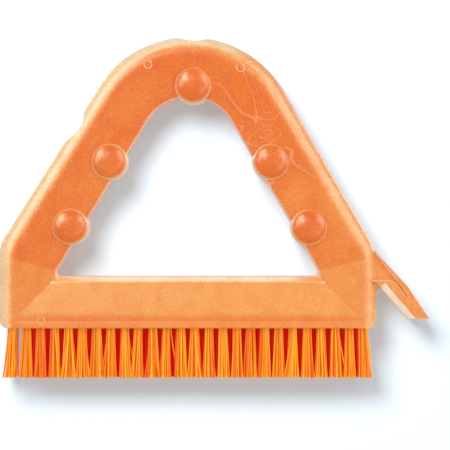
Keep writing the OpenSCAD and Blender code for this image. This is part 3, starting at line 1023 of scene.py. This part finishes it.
class BRUSH_OT_handle(bpy.types.Operator):
    """Model the handle: the loop, its bumps, the scraper and both sockets"""

    bl_idname = "brush.handle"
    bl_label = "Make handle"

    def execute(self, context):
        piece = loop_solid()
        for place in bump_centres():
            combine(piece, finger_bump(place), "UNION")
        combine(piece, scraper_solid(), "UNION")
        for x, z in EJECTOR_MARKS:
            combine(piece, ejector_mark(x, z), "UNION")
        for at, length, mouth_r, mouth_length, turn in SOCKETS:
            for cutter in threaded_cutter(length, mouth_r, mouth_length):
                cutter.rotation_euler = (0, turn, 0)
                cutter.location = spot(at[0], 0, at[1])
                in_place(cutter)
                combine(piece, cutter, "DIFFERENCE")
        merge_seams(piece, 2e-6)
        bpy.ops.object.shade_smooth_by_angle(angle=radians(32))
        tone_handle(piece)
        piece.data.materials.clear()
        piece.data.materials.append(handle_material(context.scene.brush_handle))
        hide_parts("handle_block")
        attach(piece, "root")
        return {"FINISHED"}


# Bristles


def strand_template():
    """One filament: a thin prism primitive cut across into rings, as unit points and faces."""
    piece = add(bpy.ops.mesh.primitive_cylinder_add, "strand", vertices=STRAND_SIDES, radius=1,
                depth=1, location=(0, 0, 0.5))
    in_place(piece)
    edit(piece)
    for level in STRAND_RINGS:
        bpy.ops.mesh.select_all(action="SELECT")
        bpy.ops.mesh.bisect(plane_co=(0, 0, level), plane_no=(0, 0, 1))
    end_edit()
    recalculate_normals(piece)
    points = coordinates(piece)
    faces = [tuple(p.vertices) for p in piece.data.polygons]
    bpy.data.objects.remove(piece)
    return points, faces


def strand(points, radius, root, tip, dice):
    """One filament from its root to its tip, a little bowed, as points in metres."""
    low = abs(dice.gauss(0, 0.18))
    top = BASE_Z + STRAND_INTO_BLOCK
    bow = dice.gauss(0, 0.22)
    side = dice.uniform(0, 2 * pi)
    turn = dice.uniform(0, 2 * pi)
    t = 1 - points[:, 2]
    arch = np.sin(pi * t) * bow
    x = points[:, 0] * cos(turn) - points[:, 1] * sin(turn)
    y = points[:, 0] * sin(turn) + points[:, 1] * cos(turn)
    return np.stack([
        root[0] + (tip[0] - root[0]) * t**1.25 + arch * cos(side) + x * radius + SHIFT_X,
        root[1] + (tip[1] - root[1]) * t**1.25 + arch * sin(side) + y * radius,
        top + (low - top) * t], axis=1) * MM


def tuft_strands(settings, dice, points, x, y, splay):
    """The filaments of one tuft, packed at the root and spread at the tip, with a tone for each."""
    out, tones = [], []
    lean_x, lean_y = splay + dice.gauss(0, 0.25), dice.gauss(0, 0.25)
    radius = settings.thickness / MM / 2
    for k in range(settings.strands):
        share = sqrt((k + 0.5) / settings.strands)
        angle = k * pi * (3 - sqrt(5)) + dice.uniform(-0.25, 0.25)
        root = (TUFT_R - radius) * share
        tip = (TUFT_TIP_R - radius) * share**0.8 * dice.uniform(0.9, 1.04)
        swing = dice.gauss(0, 0.16)
        tip_x = x + TIP_WIDER * tip * cos(angle + swing) + lean_x + dice.gauss(0, 0.28)
        tip_y = y + tip * sin(angle + swing) + lean_y + dice.gauss(0, 0.28)
        reach = hypot((tip_x - x - splay) / TIP_WIDER, tip_y - y)
        if reach > TUFT_TIP_R:
            tip_x = x + splay + (tip_x - x - splay) * TUFT_TIP_R / reach
            tip_y = y + (tip_y - y) * TUFT_TIP_R / reach
        if dice.random() < STRAY_SHARE and abs(x) < -MIDDLE_X:
            tip_x += dice.choice((-1, 1)) * dice.uniform(1.5, 4.0)
        root_at = (x + root * cos(angle), y + root * sin(angle))
        out.append(strand(points, radius, root_at, (tip_x, tip_y), dice))
        tones.append(dice.choice(STRAND_TONES) + dice.uniform(-0.08, 0.08))
    return out, tones


def tuft_piece(name, strands, tones, inner, faces):
    """A piece with a copy of the filament for every strand."""
    count = len(strands[0])
    points = np.concatenate(strands)
    mesh = bpy.data.meshes.new(name)
    copies = [tuple(v + count * k for v in f) for k in range(len(strands)) for f in faces]
    mesh.from_pydata(points.tolist(), [], copies)
    store_tone(mesh, "strand_tone", "POINT", np.repeat(np.clip(tones, 0, 1), count))
    store_tone(mesh, "inner_tone", "POINT", np.full(len(points), inner))
    piece = bpy.data.objects.new(name, mesh)
    bpy.context.scene.collection.objects.link(piece)
    activate(piece)
    bpy.ops.object.shade_smooth_by_angle(angle=radians(80))
    return piece


class BRUSH_OT_bristles(bpy.types.Operator):
    """Fill every tuft with loose filaments, packed at the root and trimmed flat at the tips"""

    bl_idname = "brush.bristles"
    bl_label = "Make bristles"

    def execute(self, context):
        settings = context.scene.brush_bristles
        points, faces = strand_template()
        material = bristle_material(settings)
        dice = random.Random(11)
        for name, node_name, first, count, rows, end_splay, inner in TUFT_ROWS:
            for i in range(count):
                x = first + TUFT_PITCH * i
                splay = copysign(end_splay * abs(x / OUTER_X) ** 14, x)
                strands, tones = [], []
                for y in rows:
                    more, tone = tuft_strands(settings, dice, points, x, y, splay)
                    strands += more
                    tones += tone
                piece = tuft_piece(f"{name}_{i + 1}", strands, tones, inner, faces)
                piece.data.materials.append(material)
                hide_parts(f"{node_name}_{i + 1}")
                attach(piece, "root")
        return {"FINISHED"}


class BRUSH_OT_staples(bpy.types.Operator):
    """Give the wire staples in the tuft holes their brass finish"""

    bl_idname = "brush.staples"
    bl_label = "Finish staples"

    def execute(self, context):
        material = staple_material()
        for row in ("front", "middle", "back"):
            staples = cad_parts[row + "_row_staples"]
            staples.data.materials.clear()
            staples.data.materials.append(material)
        return {"FINISHED"}


# Stage


def area_lamp(name, place, size, power):
    """A round soft lamp that points at the middle of the brush."""
    lamp = bpy.data.lights.new(name, "AREA")
    lamp.shape = "DISK"
    lamp.size = size
    lamp.energy = power
    holder = bpy.data.objects.new(name, lamp)
    holder.location = place
    holder.rotation_mode = "QUATERNION"
    holder.rotation_quaternion = (Vector(LIT_POINT) - Vector(place)).to_track_quat("-Z", "Y")
    bpy.context.scene.collection.objects.link(holder)
    return holder


def surface_material():
    """White for the camera on its front; light passes through it, so the part's back is lit too."""
    material, tree, shader = nodes_of("white_surface")
    feed(tree, shader, {
        "Base Color": (0.345, 0.40, 0.44), "Roughness": 1.0, "Specular IOR Level": 0.0,
        "Emission Color": (1, 1, 1), "Emission Strength": 0.23})
    seen = node(tree, "ShaderNodeLightPath").outputs["Is Camera Ray"]
    turned = node(tree, "ShaderNodeNewGeometry").outputs["Backfacing"]
    shown = calculate(tree, "MULTIPLY", seen, calculate(tree, "SUBTRACT", 1.0, turned))
    clear = node(tree, "ShaderNodeBsdfTransparent")
    mixed = node(tree, "ShaderNodeMixShader", {0: shown, 1: clear.outputs[0], 2: shader.outputs[0]})
    feed(tree, tree.nodes["Material Output"], {"Surface": mixed.outputs[0]})
    return material


def white_world(ambient):
    """White for the camera, and softer white light on everything."""
    world = bpy.data.worlds.new("studio")
    bpy.context.scene.world = world
    world.use_nodes = True
    tree = world.node_tree
    seen = node(tree, "ShaderNodeLightPath").outputs["Is Camera Ray"]
    strength = node(tree, "ShaderNodeMapRange", {"Value": seen, "To Min": ambient, "To Max": 1.0})
    feed(tree, tree.nodes["Background"], {"Color": (1, 1, 1), "Strength": strength.outputs["Result"]})


class BRUSH_OT_stage(bpy.types.Operator):
    """Set the camera, the lamps and the white surface that the brush lies on"""

    bl_idname = "brush.stage"
    bl_label = "Make stage"

    def execute(self, context):
        settings = context.scene.brush_stage
        context.scene.view_settings.view_transform = "Standard"
        surface = add(bpy.ops.mesh.primitive_plane_add, "surface", size=3.0,
                      location=(0, CAD_BOX[1].y + 0.0003, 0.09), rotation=(pi / 2, 0, 0))
        in_place(surface)
        surface.data.materials.append(surface_material())
        view = bpy.data.cameras.new("camera")
        view.lens = CAMERA_LENS
        camera = bpy.data.objects.new("camera", view)
        camera.location = CAMERA_PLACE
        camera.rotation_euler = (pi / 2, 0, 0)
        context.scene.collection.objects.link(camera)
        context.scene.camera = camera
        area_lamp("key_lamp", KEY_PLACE, KEY_SIZE, settings.key_power)
        # This one lights the surface alone, so that it is white around the shadow
        wash = area_lamp("surface_lamp", KEY_PLACE, KEY_SIZE, settings.surface_power)
        lit = bpy.data.collections.new("surface_light")
        lit.objects.link(surface)
        wash.light_linking.receiver_collection = lit
        # The soft boxes are seen only in the plastic's highlights
        for name, place, share in SOFT_BOXES:
            box = area_lamp(name, place, BOX_SIZE[0], settings.gloss_power * share)
            box.data.shape = "ELLIPSE"
            box.data.size_y = BOX_SIZE[1]
            box.visible_diffuse = False
        for name, place, size, setting, share in LAMPS:
            area_lamp(name, place, size, getattr(settings, setting) * share)
        white_world(settings.ambient)
        return {"FINISHED"}


class BRUSH_PT_panel(bpy.types.Panel):
    bl_idname = "BRUSH_PT_panel"
    bl_label = "Grout brush"
    bl_space_type = "VIEW_3D"
    bl_region_type = "UI"
    bl_category = "Grout brush"

    def draw(self, context):
        for title, group, operator in (
            ("Handle", context.scene.brush_handle, "brush.handle"),
            ("Bristles", context.scene.brush_bristles, "brush.bristles"),
            ("Staples", None, "brush.staples"),
            ("Stage", context.scene.brush_stage, "brush.stage"),
        ):
            box = self.layout.box()
            box.label(text=title)
            if group:
                for key in group.__annotations__:
                    box.prop(group, key)
            box.operator(operator)


SETTINGS = {
    "brush_handle": HandleSettings, "brush_bristles": BristleSettings, "brush_stage": StageSettings,
}
CLASSES = (
    *SETTINGS.values(), BRUSH_OT_handle, BRUSH_OT_bristles, BRUSH_OT_staples, BRUSH_OT_stage,
    BRUSH_PT_panel,
)


def register():
    for cls in CLASSES:
        bpy.utils.register_class(cls)
    for name, group in SETTINGS.items():
        setattr(bpy.types.Scene, name, bpy.props.PointerProperty(type=group))


def unregister():
    for name in SETTINGS:
        delattr(bpy.types.Scene, name)
    for cls in reversed(CLASSES):
        bpy.utils.unregister_class(cls)


def main():
    register()
    bpy.ops.brush.stage()
    bpy.ops.brush.handle()
    bpy.ops.brush.bristles()
    bpy.ops.brush.staples()


if __name__ == "__main__":
    main()
